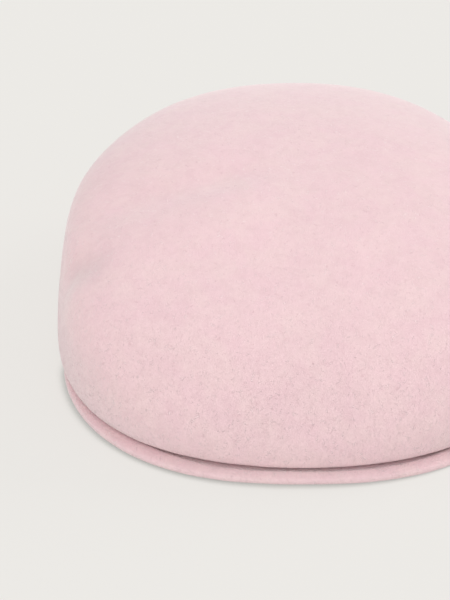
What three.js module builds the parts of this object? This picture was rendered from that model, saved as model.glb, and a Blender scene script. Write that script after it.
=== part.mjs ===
// A flat cap of felted wool: a seamless moulded crown, hollow and open below for the head, and a
// short peak that the crown's nose rolls over and rests on. Millimetres, +Z up, the peak towards -Y,
// the cap at rest on a table with its hem and the sides of its peak on Z = 0.
import * as THREE from "three";

// Driving dimensions
const headLength = 196; // the head opening, front to back
const headWidth = 162; // the head opening, side to side
const openingSetBack = 18; // the opening's centre, behind the middle of the crown's top
const noseOverhang = 45.5; // the crown's nose, ahead of the opening's edge
const sideOverhang = 33; // the crown's side, out from the opening's edge
const backOverhang = 14; // the crown's back, behind the opening's edge
const crownHeight = 93; // the top, above the table
const felt = 2.6; // wall of the crown
const hemWidth = 8; // the flat turned-in hem round the opening
const peakLength = 51; // the peak's tip, ahead of the opening's edge
const peakHalfWidth = 113;
const peakSetForward = 42; // the peak's widest line, ahead of the opening's centre
const peakThickness = 4.5;
const peakArch = 1.5; // how far the peak's middle stands off the table
const archWidth = 0.72; // half the arch, as a share of the peak's half width
const hornAngle = THREE.MathUtils.degToRad(93); // from the peak's tip round to each of its ends
const hornRound = 0.12; // the share of that angle over which an end closes
const clearance = 0.3; // between the peak and the crown that lies on it
const seatRamp = 34; // the hem comes down to the table over this length behind the peak
const noseHug = 0.8; // how far round from the tip the crown's lower edge keeps close to the peak
const openingSquareness = 2.1; // 2 is an ellipse, and more is squarer
const peakSquareness = 2.28;

// Rings of the crown between the hem and its widest line. Front, side and back each give how far out
// the ring is, as a share of the overhang beyond the hem, and how far up, as a share of the height.
// widest is where the ring is widest, as a share of the half width behind the middle of the top.
const underRings = [
  { ring: "under", front: [0.66, 0.002], side: [0.55, 0.01], back: [0.6, 0.05], square: 2.2, widest: -0.02 },
  { ring: "roll", front: [0.935, 0.01], side: [0.9, 0.03], back: [0.9, 0.15], square: 2.05, widest: -0.12 },
  { ring: "bulge", front: [1, 0.064], side: [1, 0.16], back: [1, 0.32], square: 2.1, widest: -0.19 },
];
// Rings above it, where out is a share of the reach from the middle of the top.
const overRings = [
  { ring: "brow", front: [0.98, 0.195], side: [0.98, 0.5], back: [0.985, 0.54], square: 2.3, widest: -0.19 },
  { ring: "turn", front: [0.89, 0.41], side: [0.94, 0.69], back: [0.91, 0.71], square: 2.3, widest: -0.16 },
  { ring: "slope", front: [0.74, 0.6], side: [0.8, 0.81], back: [0.78, 0.87], square: 2.25, widest: -0.11 },
  { ring: "upper", front: [0.5, 0.78], side: [0.57, 0.905], back: [0.52, 0.96], square: 2.1, widest: -0.03 },
  { ring: "top", front: [0.25, 0.893], side: [0.29, 0.948], back: [0.26, 0.985], square: 2, widest: 0 },
  { ring: "middle", front: [0, 0.957], side: [0, 0.957], back: [0, 0.957], square: 2, widest: 0 },
];
// Soft folds in the crown, each from one place to another. A place is x and y as shares of the half
// width and z as a share of the height. A fold with a depth below zero stands out.
const folds = [
  { fold: "dent", from: [-0.93, -0.36, 0.66], to: [-0.86, -0.4, 0.73], width: 14, depth: 4 },
  { fold: "crease", from: [-0.8, -0.22, 0.81], to: [-0.22, -0.03, 0.95], width: 12, depth: 2 },
  { fold: "swell", from: [-0.72, -0.44, 0.77], to: [-0.2, -0.29, 0.9], width: 14, depth: -1.2 },
  { fold: "brow line", from: [-0.6, -0.93, 0.39], to: [0.6, -0.93, 0.42], width: 13, depth: 1.4 },
];

// Mesh steps
const aroundSteps = 64;
const stepsPerRing = 3;
const rimSteps = 3;
const peakSteps = 48;
const peakFlatSteps = 4;
const peakEdgeSteps = 3;

const sides = ["front", "side", "back"];
const opening = {
  front: headLength / 2 - openingSetBack + felt / 2,
  side: headWidth / 2 + felt / 2,
  back: headLength / 2 + openingSetBack + felt / 2,
};
const overhang = { front: noseOverhang, side: sideOverhang, back: backOverhang };
const halfWidth = opening.side + sideOverhang;

const signedPower = (value, power) => Math.sign(value) * Math.abs(value) ** power;

// A point of an egg-shaped ring, at an angle from its right side round to its back.
function eggPoint(angle, reach, square, widestAt) {
  const across = signedPower(Math.cos(angle), 2 / square);
  const along = signedPower(Math.sin(angle), 2 / square);
  const ahead = reach.front + widestAt;
  const behind = reach.back - widestAt;
  const y = widestAt + ((behind + ahead) / 2) * along + ((behind - ahead) / 2) * along ** 2;
  return { x: reach.side * across, y };
}

// The peak's two edges at a turn, -1 at its right end, 0 at its tip and 1 at its left end.
function peakEdges(turn) {
  const angle = -Math.PI / 2 - turn * hornAngle;
  const centreY = openingSetBack - peakSetForward;
  const depth = opening.front + peakLength + centreY;
  const outer = {
    x: peakHalfWidth * signedPower(Math.cos(angle), 2 / peakSquareness),
    y: centreY + depth * signedPower(Math.sin(angle), 2 / peakSquareness),
  };
  return { inner: eggPoint(angle, opening, openingSquareness, openingSetBack), outer };
}

// Height of the peak's underside: on the table at its sides, and a shallow arch in its middle.
function peakLift(x) {
  const share = Math.min(1, Math.abs(x) / (archWidth * peakHalfWidth));
  return (peakArch / 2) * (1 + Math.cos(Math.PI * share));
}

// Height of what the crown's underside lies on: the peak, and the table behind the peak's ends.
function seatHeight(x, y) {
  const rampEnd = peakEdges(1).inner.y + seatRamp;
  const onPeak = THREE.MathUtils.smoothstep(rampEnd - y, 0, seatRamp);
  return onPeak * (peakLift(x) + peakThickness + clearance);
}

// One side of the crown's section as a curve: x is the reach from the middle of the top, and y the
// share of the height.
function sectionCurve(side) {
  const hem = opening[side] + hemWidth;
  const points = [new THREE.Vector3(hem, 0)];
  for (const row of underRings) {
    const [out, up] = row[side];
    points.push(new THREE.Vector3(hem + (overhang[side] - hemWidth) * out, up));
  }
  for (const row of overRings) {
    const [out, up] = row[side];
    points.push(new THREE.Vector3((opening[side] + overhang[side]) * out, up));
  }
  return new THREE.CatmullRomCurve3(points, false, "catmullrom");
}

// How square each ring is (x), where it is widest (y), and how closely it hugs the peak (z), as a
// curve over the same rings.
function shapeCurve() {
  const points = [new THREE.Vector3(openingSquareness, openingSetBack, noseHug)];
  for (const row of underRings) {
    points.push(new THREE.Vector3(row.square, row.widest * halfWidth, noseHug));
  }
  for (const row of overRings) {
    points.push(new THREE.Vector3(row.square, row.widest * halfWidth, 0));
  }
  return new THREE.CatmullRomCurve3(points, false, "catmullrom");
}

// The crown's outer face before its folds: rings of points from the opening's edge to near the top.
function smoothRings() {
  const [front, side, back] = sides.map(sectionCurve);
  const shape = shapeCurve();
  const ringAt = (share, inward) => {
    const [f, s, b] = [front, side, back].map((curve) => curve.getPoint(share));
    const { x: square, y: widestAt, z: hug } = shape.getPoint(share);
    const reach = { front: f.x - inward, side: s.x - inward, back: b.x - inward };
    return Array.from({ length: aroundSteps }, (_, k) => {
      const angle = (2 * Math.PI * k) / aroundSteps;
      const sine = Math.sin(angle);
      const { x, y } = eggPoint(angle, reach, square, widestAt);
      const even = s.y + ((b.y - f.y) / 2) * sine + ((b.y + f.y) / 2 - s.y) * sine ** 2;
      const ahead = Math.max(0, -sine);
      const up = even - hug * (s.y - f.y) * ahead ** 2 * (1 - ahead);
      const seat = seatHeight(x, y);
      return new THREE.Vector3(x, y, seat + up * (crownHeight - seat));
    });
  };
  const steps = (underRings.length + overRings.length) * stepsPerRing;
  const rings = [ringAt(0, hemWidth)];
  for (let k = 0; k < steps; k++) rings.push(ringAt(k / steps, 0));
  return rings;
}
const topPoint = new THREE.Vector3(0, 0, overRings.at(-1).front[1] * crownHeight);

// The unit normals of a surface given by such rings, pointing out of the crown.
function ringNormals(rings) {
  return rings.map((ring, r) => ring.map((point, k) => {
    const around = ring[(k + 1) % ring.length].clone().sub(ring.at(k - 1));
    const above = r + 1 < rings.length ? rings[r + 1][k] : topPoint;
    const below = r > 0 ? rings[r - 1][k] : point;
    return around.cross(above.clone().sub(below)).normalize();
  }));
}

function foldDepth(point) {
  const scale = new THREE.Vector3(halfWidth, halfWidth, crownHeight);
  const nearest = new THREE.Vector3();
  let total = 0;
  for (const { from, to, width, depth } of folds) {
    const start = new THREE.Vector3(...from).multiply(scale);
    const end = new THREE.Vector3(...to).multiply(scale);
    new THREE.Line3(start, end).closestPointToPoint(point, true, nearest);
    total += depth * Math.exp(-((point.distanceTo(nearest) / width) ** 2));
  }
  return total;
}

// Each point moved inwards along its normal by a length that may differ from point to point.
function pressedRings(rings, depthAt) {
  const normals = ringNormals(rings);
  return rings.map((ring, r) => ring.map((point, k) =>
    point.clone().addScaledVector(normals[r][k], -depthAt(point))));
}

// A closed surface through a list of rings. The first and the last ring are single points.
function loft(rings) {
  const positions = [];
  const index = [];
  let start = 0;
  rings.forEach((ring, r) => {
    for (const point of ring) positions.push(point.x, point.y, point.z);
    const next = rings[r + 1];
    if (!next) return;
    const nextStart = start + ring.length;
    const count = Math.max(ring.length, next.length);
    for (let k = 0; k < count; k++) {
      const after = (k + 1) % count;
      const a = start + (k % ring.length);
      const b = start + (after % ring.length);
      const c = nextStart + (after % next.length);
      const d = nextStart + (k % next.length);
      if (a !== b) index.push(a, b, c);
      if (c !== d) index.push(a, c, d);
    }
    start = nextStart;
  });
  const geometry = new THREE.BufferGeometry();
  geometry.setAttribute("position", new THREE.Float32BufferAttribute(positions, 3));
  geometry.setIndex(index);
  geometry.computeVertexNormals();
  return geometry;
}

// The felt's round edge at the opening, from the outer face to the inner one.
function rimRings(outer, inner) {
  const rings = [];
  for (let i = 1; i < rimSteps; i++) {
    const turn = (Math.PI * i) / rimSteps;
    rings.push(outer[0].map((point, k) => {
      const inwards = point.clone().sub(outer[1][k]).normalize();
      const middle = point.clone().lerp(inner[0][k], (1 - Math.cos(turn)) / 2);
      return middle.addScaledVector(inwards, (felt / 2) * Math.sin(turn));
    }));
  }
  return rings;
}

function makeCrown() {
  const outer = pressedRings(smoothRings(), foldDepth);
  const inner = pressedRings(outer, () => felt);
  const innerTop = topPoint.clone().setZ(topPoint.z - felt);
  const rim = rimRings(outer, inner).toReversed();
  return loft([[innerTop], ...inner.toReversed(), ...rim, ...outer, [topPoint]]);
}

// The peak's section: how far across it each point is, -1 to 1 over its flats, and its place on the
// round of an edge.
function peakSection() {
  const section = [];
  for (const face of [-1, 1]) {
    const edge = -face;
    for (let i = 0; i < peakFlatSteps; i++) {
      section.push({ across: edge * ((2 * i) / peakFlatSteps - 1), round: 0, over: face });
    }
    for (let i = 0; i < peakEdgeSteps; i++) {
      const angle = (Math.PI * i) / peakEdgeSteps;
      section.push({ across: edge, round: edge * Math.sin(angle), over: face * Math.cos(angle) });
    }
  }
  return section;
}

function peakRing(turn) {
  const { inner, outer } = peakEdges(turn);
  const past = Math.max(0, (Math.abs(turn) - 1 + hornRound) / hornRound);
  const taper = Math.sqrt(Math.max(0, 1 - past ** 2));
  const run = new THREE.Vector2(outer.x - inner.x, outer.y - inner.y);
  const width = run.length() * taper;
  const direction = run.normalize();
  const radius = Math.min(peakThickness, width) / 2;
  return peakSection().map(({ across, round, over }) => {
    const out = (width / 2) + across * (width / 2 - radius) + round * radius;
    const x = inner.x + direction.x * out;
    const y = inner.y + direction.y * out;
    return new THREE.Vector3(x, y, peakLift(x) + peakThickness / 2 + over * radius);
  });
}

function makePeak() {
  const rings = [];
  for (let k = 1; k < peakSteps; k++) rings.push(peakRing(-Math.cos((Math.PI * k) / peakSteps)));
  const ends = [-1, 1].map((turn) => {
    const { x, y } = peakEdges(turn).inner;
    return [new THREE.Vector3(x, y, peakLift(x) + peakThickness / 2)];
  });
  return loft([ends[0], ...rings, ends[1]]);
}

function feltMaterial(colour) {
  return new THREE.MeshStandardMaterial({ color: colour, roughness: 0.95, metalness: 0 });
}

function namedMesh(name, geometry, material) {
  const mesh = new THREE.Mesh(geometry, material);
  mesh.name = name;
  return mesh;
}

const cap = new THREE.Group();
cap.add(namedMesh("crown", makeCrown(), feltMaterial(0xedcfd1)));
cap.add(namedMesh("peak", makePeak(), feltMaterial(0xe9c6ca)));

// The origin is on the table, under the middle of the whole cap.
const middle = new THREE.Box3().setFromObject(cap, true).getCenter(new THREE.Vector3());
cap.position.set(-middle.x, -middle.y, 0);

export default cap;
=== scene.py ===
"""A pale pink flat cap of felted wool, lying on a pale floor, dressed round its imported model."""

import math

import bmesh
import bpy
from bpy.props import FloatProperty, FloatVectorProperty, PointerProperty
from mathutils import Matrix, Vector, geometry, noise
from mathutils.bvhtree import BVHTree


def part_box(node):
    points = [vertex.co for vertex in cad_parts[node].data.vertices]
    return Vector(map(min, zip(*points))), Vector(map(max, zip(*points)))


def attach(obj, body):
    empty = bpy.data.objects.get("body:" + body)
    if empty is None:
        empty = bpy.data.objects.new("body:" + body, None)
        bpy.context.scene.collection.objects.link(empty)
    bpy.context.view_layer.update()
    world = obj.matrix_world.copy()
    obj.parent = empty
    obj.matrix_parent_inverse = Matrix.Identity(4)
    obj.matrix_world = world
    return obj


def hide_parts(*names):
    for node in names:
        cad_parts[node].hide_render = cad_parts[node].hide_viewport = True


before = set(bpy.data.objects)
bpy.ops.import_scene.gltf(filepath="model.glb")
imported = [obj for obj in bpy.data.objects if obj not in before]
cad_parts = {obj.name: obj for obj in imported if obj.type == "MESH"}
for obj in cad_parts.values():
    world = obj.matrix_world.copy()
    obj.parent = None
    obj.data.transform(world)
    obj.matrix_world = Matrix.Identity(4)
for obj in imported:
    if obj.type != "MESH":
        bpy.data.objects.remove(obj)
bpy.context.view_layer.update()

bl_info = {
    "name": "Felt flat cap",
    "version": (1, 0, 0),
    "blender": (4, 5, 0),
    "location": "View3D > Sidebar > Felt cap",
    "description": "Models and finishes a flat cap of felted wool on a pale floor",
    "category": "Object",
}

crown_low, crown_high = (Vector(corner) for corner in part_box("crown"))
crown_half_width = (crown_high.x - crown_low.x) / 2
crown_height = crown_high.z

# Soft folds pressed into the crown beside the ones that its solid has. A place is x and y as shares
# of the half width and z as a share of the height. Width and depth are in millimetres, and a fold
# with a depth below zero stands out.
FOLDS = {
    "dent": {"from": (-0.93, -0.37, 0.64), "to": (-0.9, -0.39, 0.71), "width": 10, "depth": 3.2},
    "valley": {"from": (-0.66, -0.16, 0.85), "to": (-0.36, -0.06, 0.93), "width": 13, "depth": 1.1},
    "ridge": {"from": (-0.73, -0.26, 0.81), "to": (-0.23, -0.13, 0.93), "width": 13, "depth": -1.6},
    "cheek": {"from": (-0.9, -0.62, 0.5), "to": (-0.74, -0.66, 0.66), "width": 14, "depth": -0.9},
}
MILLIMETRE = 0.001
UP = Vector((0, 0, 1))

# Folds and waves move the felt to and from a core inside the crown. It lies at this share of the
# height, and heights above it count this many times as much as widths.
CORE_HEIGHT = 0.35
CORE_STEEPNESS = 2

# Lengths from here to the layers of the wool are in metres, and a pair is where something starts
# and where it is complete.
CROWN_LEAVES_TABLE = (0.008, 0.02)
PEAK_LEAVES_TABLE = (0.0006, 0.0016)
FOLD_SHADE_DEPTHS = (0, 0.003)  # the fold depths over which the painted shade in the folds grows from none to full
FOLD_SHADE_ATTRIBUTE = "flattened"  # the crown's attribute that holds the painted shade in its folds

# The crown's lower edge over the peak: the height at its middle, and how far it goes up and down.
EDGE_HEIGHT = 0.0085
EDGE_BAND = 0.0045

# The nose's sag starts and fades again at these heights, and ends this far to each side.
SAG_STARTS = (0.0063, 0.0078)
SAG_FADES = (0.01, 0.024)
SAG_HALF_WIDTH = 0.075

# The groove under the nose. A ray goes up from the peak to the nose, and from a little above that
# place another goes outwards to the nose's front, away from a point on the middle line. The groove
# is deepest a little way in from that front, further in at the sides, and fades behind that.
NOSE_HANGS = 0.008
RAY_LIFT = 0.001
RAY_LENGTH = 0.02
RAYS_FROM_Y = -0.03
GROOVE_SET_IN = 0.0025
GROOVE_SIDES = (0.03, 0.09)
GROOVE_SLOPE = 0.0018
GROOVE_FADES = (0.006, 0.01)
FACES_UP = 0.5  # the least upward share of a normal on the peak's top

# Layers of noise in the matted wool: the share is how many of its waves there are to one curl, the
# swirl is how much it curls round itself, and the turns keep the layers from lining up.
WOOL_LAYERS = {
    "long curls": {"share": 1.0, "detail": 2.0, "swirl": 2.5, "turn": (0.3, 0.8, 0.1)},
    "short curls": {"share": 2.2, "detail": 2.0, "swirl": 2.0, "turn": (1.1, 0.2, 0.7)},
    "grain": {"share": 1.7, "detail": 3.0, "swirl": 0.3, "turn": (0.0, 0.5, 1.3)},
    "clumps": {"share": 0.55, "detail": 2.5, "swirl": 0.8, "turn": (0.7, 0.1, 0.4)},
    "patches": {"share": 0.075, "detail": 2.0, "swirl": 0.6, "turn": (0.2, 0.1, 0.4)},
    "tints": {"share": 0.2, "detail": 2.0, "swirl": 0.4, "turn": (0.5, 0.9, 0.2)},
    "flecks": {"share": 1.7, "detail": 1.5, "swirl": 1.2, "turn": (0.9, 0.3, 0.6)},
    "specks": {"share": 1.4, "detail": 1.0, "swirl": 0.8, "turn": (0.1, 0.6, 0.9)},
}
LAYER_SPACING = 300  # between the layers' nodes in the editor
DRAWN_OUT = (1.0, 1.0, 0.75)  # draws the curls out a little, up and down
LONG_CURL_SHARPNESS = 9.0
SHORT_CURL_SHARPNESS = 7.0
FLECK_STEP = (0.62, 0.74)
SPECK_STEP = (0.64, 0.78)
CURL_SHARES = {"long curls": 0.6, "short curls": 0.4}
HEIGHT_SHARES = {"curls": 0.192, "grain": 0.32, "clumps": 0.32, "flecks": 0.4, "specks": -0.1}

# How the wool's masks colour it, one over the other. Each mask is stretched from its range to a
# share of one of the felt's colours.
WOOL_COLOURS = (
    {"mask": "Tints", "range": (0.35, 0.65), "share": (0, 1), "colour": "warm_wool"},
    {"mask": "Clumps", "range": (0.6, 0.3), "share": (0, 0.2), "colour": "deep_fibres"},
    {"mask": "Curls", "range": (0.3, 0.95), "share": (0, 0.16), "colour": "pale_fibres"},
    {"mask": "Flecks", "range": (0, 1), "share": (0, 0.62), "colour": "pale_fibres"},
    {"mask": "Specks", "range": (0, 1), "share": (0, 0.42), "colour": "deep_fibres"},
)
PATCH_RANGE = (0.35, 0.65)
PATCH_SHADES = (0.985, 1.01)

# The nap stands up near the table and is pressed flatter towards the top of the crown.
NAP_HEIGHTS = (0.02, 0.088)
NAP_SHARES = (0.95, 0.36)
PEAK_TINT = 0.985  # the peak's wool beside the crown's

# The floor's openness between which the dark line at the cap's edge fades.
SHADOW_FADES = (0.28, 0.72)
FLOOR_HALF_SIDE = 8
LIGHT_SOFTNESS = math.radians(35)

# Each light's strength is one of the stage's settings.
LIGHTS = (
    {"name": "front light", "strength": "fill_strength", "from": (-0.14, -0.67, 0.73)},
    {"name": "back light", "strength": "rim_strength", "from": (0.85, 0.4, 0.34)},
)

# Sockets of a Mix node that mixes colours, which share their names with its other sockets.
MIX_SHARE, MIX_FIRST, MIX_SECOND = 0, 6, 7
MIX_RESULT = 2


class CrownSettings(bpy.types.PropertyGroup):
    undulation: FloatProperty(
        name="Undulation",
        description="How far the pressed felt wanders in and out",
        default=0.00035,
        subtype="DISTANCE",
        unit="LENGTH",
    )
    undulation_size: FloatProperty(
        name="Undulation size",
        description="Length of one wave of the felt's surface",
        default=0.045,
        subtype="DISTANCE",
        unit="LENGTH",
    )
    pebble: FloatProperty(
        name="Pebble",
        description="Height of the small bumps that felting leaves",
        default=0.00009,
        subtype="DISTANCE",
        unit="LENGTH",
    )
    pebble_size: FloatProperty(
        name="Pebble size",
        description="Length of one of those bumps",
        default=0.0075,
        subtype="DISTANCE",
        unit="LENGTH",
    )
    edge_wobble: FloatProperty(
        name="Edge wobble",
        description="How unevenly the crown's lower edge runs along the peak",
        default=0.0004,
        subtype="DISTANCE",
        unit="LENGTH",
    )
    edge_wobble_size: FloatProperty(
        name="Edge wobble size",
        description="Length of one wave of that edge",
        default=0.006,
        subtype="DISTANCE",
        unit="LENGTH",
    )
    nose_drop: FloatProperty(
        name="Nose drop",
        description="How far the middle of the nose sags into the peak",
        default=0.0011,
        subtype="DISTANCE",
        unit="LENGTH",
    )


class PeakSettings(bpy.types.PropertyGroup):
    undulation: FloatProperty(
        name="Undulation",
        description="How far the peak's felt wanders in and out",
        default=0.00014,
        subtype="DISTANCE",
        unit="LENGTH",
    )
    undulation_size: FloatProperty(
        name="Undulation size",
        description="Length of one wave of the peak's surface",
        default=0.011,
        subtype="DISTANCE",
        unit="LENGTH",
    )
    groove: FloatProperty(
        name="Groove",
        description="How deep the crown's nose presses into the peak",
        default=0.0016,
        subtype="DISTANCE",
        unit="LENGTH",
    )


class FeltSettings(bpy.types.PropertyGroup):
    colour: FloatVectorProperty(
        name="Wool",
        description="Colour of the felted wool",
        default=(0.885, 0.625, 0.658, 1),
        size=4,
        min=0,
        max=1,
        subtype="COLOR",
    )
    pale_fibres: FloatVectorProperty(
        name="Pale fibres",
        description="Colour of the lightest fibres on the surface",
        default=(0.985, 0.765, 0.775, 1),
        size=4,
        min=0,
        max=1,
        subtype="COLOR",
    )
    deep_fibres: FloatVectorProperty(
        name="Deep fibres",
        description="Colour between the fibres",
        default=(0.7, 0.46, 0.49, 1),
        size=4,
        min=0,
        max=1,
        subtype="COLOR",
    )
    warm_wool: FloatVectorProperty(
        name="Warm wool",
        description="Colour of the patches that took less of the dye",
        default=(0.89, 0.654, 0.665, 1),
        size=4,
        min=0,
        max=1,
        subtype="COLOR",
    )
    fibre_length: FloatProperty(
        name="Fibre length",
        description="Length of the curls that the matted fibres make",
        default=0.0026,
        subtype="DISTANCE",
        unit="LENGTH",
    )
    nap_height: FloatProperty(
        name="Nap height",
        description="Height of the matted fibres",
        default=0.001,
        subtype="DISTANCE",
        unit="LENGTH",
    )
    # Painted shade: how much darker the crown's wool is painted in its folds, where shade falls.
    painted_fold_shade: FloatProperty(
        name="Painted fold shade",
        description="How much darker the wool is where a fold presses its nap flat",
        default=0.075,
        min=0,
        max=1,
        subtype="FACTOR",
    )
    sheen: FloatProperty(
        name="Sheen",
        description="Light caught by the fuzz at the edges",
        default=0.8,
        min=0,
        max=1,
        subtype="FACTOR",
    )


class StageSettings(bpy.types.PropertyGroup):
    floor_colour: FloatVectorProperty(
        name="Floor",
        description="Colour of the floor and of the air behind it",
        default=(0.84, 0.823, 0.791, 1),
        size=4,
        min=0,
        max=1,
        subtype="COLOR",
    )
    elevation: FloatProperty(
        name="Camera elevation",
        description="Angle of the camera above the floor",
        default=math.radians(33),
        subtype="ANGLE",
        unit="ROTATION",
    )
    distance: FloatProperty(
        name="Camera distance",
        description="From the camera to the place that it looks at",
        default=1.15,
        subtype="DISTANCE",
        unit="LENGTH",
    )
    lens: FloatProperty(
        name="Focal length",
        description="Focal length on a frame 24 mm high, in millimetres",
        default=94.2,
    )
    look_at: FloatVectorProperty(
        name="Looks at",
        description="The place that the camera looks at",
        default=(-0.035, 0.0003, 0.015),
        size=3,
        subtype="TRANSLATION",
        unit="LENGTH",
    )
    sky: FloatProperty(
        name="Sky",
        description="Strength of the even light from all round",
        default=0.62,
        min=0,
    )
    fill_strength: FloatProperty(
        name="Front light",
        description="Strength of the soft light from the front, above",
        default=1.27,
        min=0,
    )
    rim_strength: FloatProperty(
        name="Back light",
        description="Strength of the soft, low light from behind on the right",
        default=0.84,
        min=0,
    )
    floor_glow: FloatProperty(
        name="Floor glow",
        description="Share of the floor's light that no broad shadow reaches",
        default=0.75,
        min=0,
        max=1,
        subtype="FACTOR",
    )
    floor_bounce: FloatProperty(
        name="Floor bounce",
        description="Share of the floor's glow that lights the cap from below",
        default=0.82,
        min=0,
        max=1,
        subtype="FACTOR",
    )
    contact_reach: FloatProperty(
        name="Contact shadow",
        description="How far the dark line along the cap's edge reaches over the floor",
        default=0.0065,
        subtype="DISTANCE",
        unit="LENGTH",
    )
    open_side: FloatVectorProperty(
        name="Open side",
        description="Where the floor's light mostly comes from, across from the wide dark line",
        default=(0.8, 0.05, 0.6),
        size=3,
        subtype="DIRECTION",
    )
    shadow_colour: FloatVectorProperty(
        name="Shadow",
        description="Colour of the floor in that dark line",
        default=(0.45, 0.455, 0.43, 1),
        size=4,
        min=0,
        max=1,
        subtype="COLOR",
    )


def add_node(tree, kind, place, **values):
    """A node at a place in the editor, with its properties."""
    node = tree.nodes.new(kind)
    node.location = place
    for name, value in values.items():
        setattr(node, name, value)
    return node


def set_inputs(node, **values):
    """Sets a node's inputs by name, with _ for a space."""
    for name, value in values.items():
        node.inputs[name.replace("_", " ")].default_value = value


def feed(tree, socket, value):
    """Links a socket to another node's output, or sets it to a plain value."""
    if isinstance(value, bpy.types.NodeSocket):
        tree.links.new(value, socket)
    else:
        socket.default_value = value


def maths(tree, operation, place, first, second=None, clamp=False):
    """A Math node whose inputs are values or other nodes' outputs."""
    node = add_node(tree, "ShaderNodeMath", place, operation=operation, use_clamp=clamp)
    feed(tree, node.inputs[0], first)
    if second is not None:
        feed(tree, node.inputs[1], second)
    return node.outputs[0]


def stretched(tree, place, value, bounds, shares=(0, 1), smooth=False):
    """A value stretched from its bounds to a range of shares, and held within it."""
    curve = "SMOOTHSTEP" if smooth else "LINEAR"
    node = add_node(tree, "ShaderNodeMapRange", place, interpolation_type=curve)
    set_inputs(node, From_Min=bounds[0], From_Max=bounds[1], To_Min=shares[0], To_Max=shares[1])
    tree.links.new(value, node.inputs["Value"])
    return node.outputs["Result"]


def mixed(tree, place, first, second, share):
    """Two colours mixed by a share of the second."""
    node = add_node(tree, "ShaderNodeMix", place, data_type="RGBA")
    feed(tree, node.inputs[MIX_SHARE], share)
    feed(tree, node.inputs[MIX_FIRST], first)
    feed(tree, node.inputs[MIX_SECOND], second)
    return node.outputs[MIX_RESULT]


def matted_fibre_group():
    """Masks and height of matted wool: curls, flecks, specks, clumps, patches and tints."""
    group = bpy.data.node_groups.new("Matted fibres", "ShaderNodeTree")
    face = group.interface
    face.new_socket("Vector", in_out="INPUT", socket_type="NodeSocketVector")
    face.new_socket("Fibres per metre", in_out="INPUT", socket_type="NodeSocketFloat")
    for name in ("Curls", "Flecks", "Specks", "Clumps", "Patches", "Tints", "Height"):
        face.new_socket(name, in_out="OUTPUT", socket_type="NodeSocketFloat")
    start = add_node(group, "NodeGroupInput", (-900, 0))
    end = add_node(group, "NodeGroupOutput", (1500, 0))
    links = group.links
    rows = {name: -LAYER_SPACING * number for number, name in enumerate(WOOL_LAYERS)}

    def layer(name):
        """One layer of noise, turned its own way."""
        values = WOOL_LAYERS[name]
        row = rows[name]
        turned = add_node(group, "ShaderNodeMapping", (-700, row))
        set_inputs(turned, Rotation=values["turn"], Scale=DRAWN_OUT)
        links.new(start.outputs["Vector"], turned.inputs["Vector"])
        per_metre = start.outputs["Fibres per metre"]
        scale = maths(group, "MULTIPLY", (-700, row + 160), per_metre, values["share"])
        cloud = add_node(group, "ShaderNodeTexNoise", (-480, row))
        set_inputs(cloud, Detail=values["detail"], Roughness=0.55, Distortion=values["swirl"])
        links.new(turned.outputs["Vector"], cloud.inputs["Vector"])
        links.new(scale, cloud.inputs["Scale"])
        return cloud.outputs["Fac"]

    def ridges(name, sharpness):
        """Thin lines where the layer passes its middle value."""
        row = rows[name]
        off = maths(group, "SUBTRACT", (-260, row), layer(name), 0.5)
        width = maths(group, "ABSOLUTE", (-100, row), off)
        spread = maths(group, "MULTIPLY", (60, row), width, sharpness)
        return maths(group, "SUBTRACT", (220, row), 1.0, spread, clamp=True)

    def sparse(name, step):
        """Only the layer's highest tops, softly cut out."""
        return stretched(group, (-260, rows[name]), layer(name), step, smooth=True)

    def weighted(row, shares):
        """The sum of some masks, each times its share."""
        total = 0.0
        for column, (name, share) in enumerate(shares.items()):
            part = maths(group, "MULTIPLY", (400 + 200 * column, row), masks[name], share)
            total = maths(group, "ADD", (400 + 200 * column, row - 160), total, part)
        return total

    masks = {
        "long curls": ridges("long curls", LONG_CURL_SHARPNESS),
        "short curls": ridges("short curls", SHORT_CURL_SHARPNESS),
        "flecks": sparse("flecks", FLECK_STEP),
        "specks": sparse("specks", SPECK_STEP),
    }
    for name in ("grain", "clumps", "patches", "tints"):
        masks[name] = layer(name)
    masks["curls"] = weighted(0, CURL_SHARES)
    masks["height"] = weighted(-600, HEIGHT_SHARES)
    for name in ("curls", "flecks", "specks", "clumps", "patches", "tints", "height"):
        links.new(masks[name], end.inputs[name.capitalize()])
    return group


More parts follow.
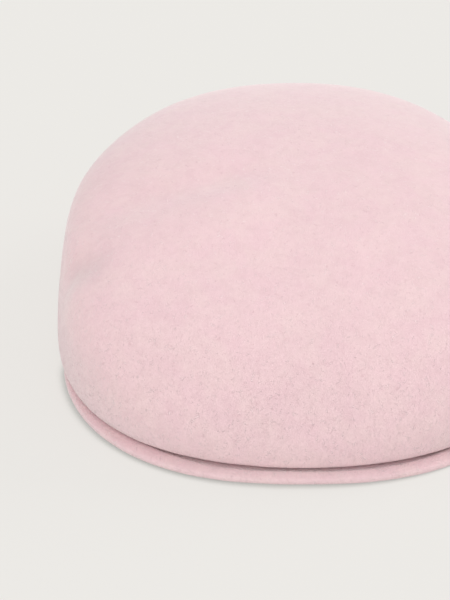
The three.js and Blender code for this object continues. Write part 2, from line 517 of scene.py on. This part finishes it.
def felt_material(name, settings, tint=1.0):
    """Pale pink wool felt: matted fibres in its colour and its surface, and a sheen of fuzz."""
    material = bpy.data.materials.new(name)
    material.use_nodes = True
    tree = material.node_tree
    shader = tree.nodes["Principled BSDF"]
    group = bpy.data.node_groups.get("Matted fibres") or matted_fibre_group()
    place = add_node(tree, "ShaderNodeTexCoord", (-1900, 0))
    fibres = add_node(tree, "ShaderNodeGroup", (-1650, 0), node_tree=group)
    fibres.inputs["Fibres per metre"].default_value = 1 / settings.fibre_length
    tree.links.new(place.outputs["Object"], fibres.inputs["Vector"])

    def tinted(colour):
        return [channel * tint for channel in colour[:3]] + [1]

    wool = tinted(settings.colour)
    for number, coat in enumerate(WOOL_COLOURS):
        column = -1350 + 190 * number
        mask = fibres.outputs[coat["mask"]]
        share = stretched(tree, (column, 500), mask, coat["range"], coat["share"])
        wool = mixed(tree, (column, 250), wool, tinted(getattr(settings, coat["colour"])), share)

    patches = stretched(tree, (-400, 550), fibres.outputs["Patches"], PATCH_RANGE, PATCH_SHADES)
    # Painted shade: the crown's folds are painted darker by this share, where shade falls in them.
    fold_shade_node = add_node(tree, "ShaderNodeAttribute", (-600, 800), attribute_name=FOLD_SHADE_ATTRIBUTE)
    shade = maths(tree, "MULTIPLY", (-400, 800), fold_shade_node.outputs["Fac"], settings.painted_fold_shade)
    even = add_node(tree, "ShaderNodeVectorMath", (-200, 250), operation="SCALE")
    tree.links.new(wool, even.inputs[0])
    tree.links.new(maths(tree, "SUBTRACT", (-200, 550), patches, shade), even.inputs["Scale"])
    tree.links.new(even.outputs[0], shader.inputs["Base Color"])

    axes = add_node(tree, "ShaderNodeSeparateXYZ", (-1350, -350))
    tree.links.new(place.outputs["Object"], axes.inputs[0])
    nap = stretched(tree, (-1150, -350), axes.outputs["Z"], NAP_HEIGHTS, NAP_SHARES, smooth=True)
    raised = maths(tree, "MULTIPLY", (-950, -200), fibres.outputs["Height"], nap)
    bump = add_node(tree, "ShaderNodeBump", (-400, -300))
    set_inputs(bump, Strength=0.8, Distance=settings.nap_height)
    tree.links.new(raised, bump.inputs["Height"])
    tree.links.new(bump.outputs["Normal"], shader.inputs["Normal"])
    set_inputs(shader, Roughness=0.95, Specular_IOR_Level=0.1)
    set_inputs(shader, Sheen_Weight=settings.sheen, Sheen_Roughness=0.5)
    set_inputs(shader, Sheen_Tint=(1.0, 0.95, 0.94, 1))
    return material


def add_object(name, mesh):
    """A new object in the scene, at the origin."""
    piece = bpy.data.objects.new(name, mesh)
    bpy.context.scene.collection.objects.link(piece)
    return piece


def merged_copy(node, name):
    """A new object with a copy of a CAD node's mesh, its loose triangles merged into quads."""
    mesh = bpy.data.meshes.new(name)
    form = bmesh.new()
    form.from_mesh(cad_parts[node].data)
    bmesh.ops.remove_doubles(form, verts=form.verts, dist=1e-6)
    bmesh.ops.join_triangles(
        form,
        faces=form.faces,
        angle_face_threshold=math.radians(60),
        angle_shape_threshold=math.radians(70),
    )
    form.to_mesh(mesh)
    form.free()
    mesh.materials.clear()
    return add_object(name, mesh)


def subdivide(piece, levels):
    """Rounds a piece by subdivision, and makes the rounded form its mesh."""
    rounding = piece.modifiers.new("Rounding", "SUBSURF")
    rounding.levels = levels
    rounding.render_levels = levels
    depsgraph = bpy.context.evaluated_depsgraph_get()
    finished = bpy.data.meshes.new_from_object(piece.evaluated_get(depsgraph))
    old = piece.data
    piece.modifiers.clear()
    piece.data = finished
    finished.name = old.name
    bpy.data.meshes.remove(old)


def ramp(value, low, high):
    """A straight step from 0 at the low value to 1 at the high one."""
    return min(1.0, max(0.0, (value - low) / (high - low)))


def eased(value, low, high):
    """A smooth step from 0 at the low value to 1 at the high one."""
    share = ramp(value, low, high)
    return share * share * (3 - 2 * share)


def fold_depth(point):
    """How far the soft folds press a place of the crown inwards."""
    scale = Vector((crown_half_width, crown_half_width, crown_height))
    total = 0.0
    for fold in FOLDS.values():
        start = Vector(fold["from"]) * scale
        end = Vector(fold["to"]) * scale
        nearest, share = geometry.intersect_point_line(point, start, end)
        if share < 0:
            nearest = start
        elif share > 1:
            nearest = end
        off = (point - nearest).length / (fold["width"] * MILLIMETRE)
        total += fold["depth"] * MILLIMETRE * math.exp(-(off**2))
    return total


def nose_sag(place):
    """Share of the nose's sag at a place: all at its lower edge's middle, none at its sides."""
    if place.y >= 0:
        return 0.0
    middle = 1 - eased(abs(place.x), 0, SAG_HALF_WIDTH)
    return middle * eased(place.z, *SAG_STARTS) * (1 - eased(place.z, *SAG_FADES))


def under_nose(crown, place):
    """Share of the groove's depth at a place on the peak: all a little way in under the nose."""
    above = crown.ray_cast(place, UP, NOSE_HANGS)[0]
    if above is None:
        return 0.0
    out = Vector((place.x, place.y - RAYS_FROM_Y, 0)).normalized()
    reach = crown.ray_cast(above + UP * RAY_LIFT, out, RAY_LENGTH)[3]
    if reach is None:
        return 0.0
    start = GROOVE_SET_IN * eased(abs(place.x), *GROOVE_SIDES)
    return eased(reach, start, start + GROOVE_SLOPE) * (1 - eased(reach, *GROOVE_FADES))


def outward(point):
    """The way out of the crown at a place: away from its core."""
    away = point - Vector((0, 0, crown_height * CORE_HEIGHT))
    return Vector((away.x, away.y, away.z * CORE_STEEPNESS)).normalized()


def move_points(piece, moved):
    """Puts each point of a piece's mesh where moved(place, normal) says."""
    points = [(vertex.co.copy(), vertex.normal.copy()) for vertex in piece.data.vertices]
    for vertex, (place, normal) in zip(piece.data.vertices, points):
        vertex.co = moved(place, normal)
    piece.data.update()


def mark_painted_fold_shade(piece):
    """Stores at each point of a piece how much painted shade its folds get, from how deep they
    press in.
    """
    flattened = piece.data.attributes.new(FOLD_SHADE_ATTRIBUTE, "FLOAT", "POINT")
    for vertex, share in zip(piece.data.vertices, flattened.data):
        share.value = ramp(fold_depth(vertex.co), *FOLD_SHADE_DEPTHS)


def finish(piece, material):
    """Gives a piece its material and smooth faces, and ties it to the body."""
    piece.data.materials.append(material)
    piece.data.polygons.foreach_set("use_smooth", [True] * len(piece.data.polygons))
    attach(piece, "root")


class FELTCAP_OT_crown(bpy.types.Operator):
    """Adds the crown: one pressed shell of wool felt, hollow for the head"""

    bl_idname = "felt_cap.add_crown"
    bl_label = "Add crown"

    def execute(self, context):
        settings = context.scene.felt_cap_crown
        crown = merged_copy("crown", "felt_crown")
        subdivide(crown, levels=2)

        def felted(place, normal):
            """Folds and waves run through the felt, and small bumps lie on each of its faces."""
            off_table = ramp(place.z, *CROWN_LEAVES_TABLE)
            wave = settings.undulation * noise.noise(place / settings.undulation_size)
            bump = settings.pebble * noise.noise(place / settings.pebble_size)
            bend = outward(place) * (wave * off_table - fold_depth(place))
            uneven = 0.5 + 0.5 * noise.noise(place / settings.edge_wobble_size)
            on_edge = max(0.0, 1 - abs(place.z - EDGE_HEIGHT) / EDGE_BAND) if place.y < 0 else 0.0
            lift = settings.edge_wobble * uneven * on_edge - settings.nose_drop * nose_sag(place)
            return place + bend + normal * bump * off_table + UP * lift

        # Stores the painted shade for the crown's folds, which its material darkens the wool by.
        mark_painted_fold_shade(crown)
        move_points(crown, felted)
        wool = felt_material("Felt of the crown", context.scene.felt_cap_felt)
        finish(crown, wool)
        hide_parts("crown")
        return {"FINISHED"}


class FELTCAP_OT_peak(bpy.types.Operator):
    """Adds the peak: a crescent of stiffened felt under the crown's nose"""

    bl_idname = "felt_cap.add_peak"
    bl_label = "Add peak"

    def execute(self, context):
        settings = context.scene.felt_cap_peak
        peak = merged_copy("peak", "felt_peak")
        subdivide(peak, levels=3)
        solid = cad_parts["crown"].data
        corners = [vertex.co for vertex in solid.vertices]
        crown = BVHTree.FromPolygons(corners, [face.vertices for face in solid.polygons])

        def felted(place, normal):
            """The felt wanders a little off the table, and the nose lies in a groove on top."""
            off_table = ramp(place.z, *PEAK_LEAVES_TABLE)
            wave = settings.undulation * noise.noise(place / settings.undulation_size)
            press = settings.groove * under_nose(crown, place) if normal.z > FACES_UP else 0.0
            return place + normal * wave * off_table - UP * press

        move_points(peak, felted)
        wool = felt_material("Felt of the peak", context.scene.felt_cap_felt, PEAK_TINT)
        finish(peak, wool)
        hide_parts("peak")
        return {"FINISHED"}


def floor_material(settings):
    """A pale matt floor, mostly lit from within, that shows the close shadow under an edge."""
    material = bpy.data.materials.new("Pale floor")
    material.use_nodes = True
    tree = material.node_tree
    shader = tree.nodes["Principled BSDF"]
    window = add_node(tree, "ShaderNodeCombineXYZ", (-1100, -100))
    for axis, share in zip("XYZ", Vector(settings.open_side).normalized()):
        window.inputs[axis].default_value = share
    close = add_node(tree, "ShaderNodeAmbientOcclusion", (-900, 0), samples=8)
    close.inputs["Distance"].default_value = settings.contact_reach
    tree.links.new(window.outputs[0], close.inputs["Normal"])
    edge = stretched(tree, (-600, 0), close.outputs["AO"], SHADOW_FADES, smooth=True)
    colour = mixed(tree, (-300, 0), settings.shadow_colour, settings.floor_colour, edge)
    tree.links.new(colour, shader.inputs["Emission Color"])
    lit = [channel * (1 - settings.floor_glow) for channel in settings.floor_colour[:3]] + [1]
    set_inputs(shader, Base_Color=lit, Roughness=1.0, Specular_IOR_Level=0.0)
    path = add_node(tree, "ShaderNodeLightPath", (-600, -300))
    glows = (settings.floor_glow * settings.floor_bounce, settings.floor_glow)
    glow = stretched(tree, (-300, -300), path.outputs["Is Camera Ray"], (0, 1), glows)
    tree.links.new(glow, shader.inputs["Emission Strength"])
    return material


def sky_world(settings):
    """An even white light from all round that the camera sees in the floor's colour."""
    sky = bpy.data.worlds.new("sky")
    sky.use_nodes = True
    tree = sky.node_tree
    glow = tree.nodes["Background"]
    set_inputs(glow, Color=(1.0, 1.0, 1.0, 1), Strength=settings.sky)
    seen = add_node(tree, "ShaderNodeBackground", (-200, -200))
    set_inputs(seen, Color=settings.floor_colour)
    path = add_node(tree, "ShaderNodeLightPath", (-200, 300))
    pick = add_node(tree, "ShaderNodeMixShader", (100, 0))
    tree.links.new(path.outputs["Is Camera Ray"], pick.inputs[0])
    tree.links.new(glow.outputs[0], pick.inputs[1])
    tree.links.new(seen.outputs[0], pick.inputs[2])
    tree.links.new(pick.outputs[0], tree.nodes["World Output"].inputs["Surface"])
    return sky


def aim(item, place, target):
    """Puts a light or a camera at a place and turns it towards its target."""
    item.location = place
    item.rotation_euler = (Vector(target) - Vector(place)).to_track_quat("-Z", "Y").to_euler()


class FELTCAP_OT_stage(bpy.types.Operator):
    """Adds the floor, the light and the camera"""

    bl_idname = "felt_cap.add_stage"
    bl_label = "Add stage"

    def execute(self, context):
        scene = context.scene
        settings = scene.felt_cap_stage
        scene.view_settings.view_transform = "Standard"

        mesh = bpy.data.meshes.new("floor")
        form = bmesh.new()
        bmesh.ops.create_grid(form, x_segments=1, y_segments=1, size=FLOOR_HALF_SIDE)
        form.to_mesh(mesh)
        form.free()
        floor = add_object("floor", mesh)
        floor.data.materials.append(floor_material(settings))

        lens = bpy.data.cameras.new("camera")
        lens.sensor_fit = "VERTICAL"
        lens.sensor_height = 24
        lens.lens = settings.lens
        lens.clip_end = 50
        camera = add_object("camera", lens)
        target = Vector(settings.look_at)
        back = Vector((0, -math.cos(settings.elevation), math.sin(settings.elevation)))
        aim(camera, target + back * settings.distance, target)
        scene.camera = camera

        scene.world = sky_world(settings)
        for row in LIGHTS:
            light = bpy.data.lights.new(row["name"], "SUN")
            light.angle = LIGHT_SOFTNESS
            light.energy = getattr(settings, row["strength"])
            aim(add_object(row["name"], light), row["from"], (0, 0, 0))
        return {"FINISHED"}


class FELTCAP_PT_panel(bpy.types.Panel):
    """Lists the cap's settings and the steps that make it"""

    bl_label = "Felt cap"
    bl_idname = "FELTCAP_PT_panel"
    bl_space_type = "VIEW_3D"
    bl_region_type = "UI"
    bl_category = "Felt cap"

    def draw(self, context):
        groups = {
            "felt_cap_crown": FELTCAP_OT_crown,
            "felt_cap_peak": FELTCAP_OT_peak,
            "felt_cap_felt": None,
            "felt_cap_stage": FELTCAP_OT_stage,
        }
        for name, step in groups.items():
            box = self.layout.box()
            settings = getattr(context.scene, name)
            for field in settings.__annotations__:
                box.prop(settings, field)
            if step:
                box.operator(step.bl_idname)


SETTINGS = {
    "felt_cap_crown": CrownSettings,
    "felt_cap_peak": PeakSettings,
    "felt_cap_felt": FeltSettings,
    "felt_cap_stage": StageSettings,
}
STEPS = (FELTCAP_OT_crown, FELTCAP_OT_peak, FELTCAP_OT_stage, FELTCAP_PT_panel)


def register():
    for name, group in SETTINGS.items():
        bpy.utils.register_class(group)
        setattr(bpy.types.Scene, name, PointerProperty(type=group))
    for step in STEPS:
        bpy.utils.register_class(step)


def unregister():
    for step in reversed(STEPS):
        bpy.utils.unregister_class(step)
    for name, group in SETTINGS.items():
        delattr(bpy.types.Scene, name)
        bpy.utils.unregister_class(group)


def main():
    register()
    bpy.ops.felt_cap.add_crown()
    bpy.ops.felt_cap.add_peak()
    bpy.ops.felt_cap.add_stage()


if __name__ == "__main__":
    main()
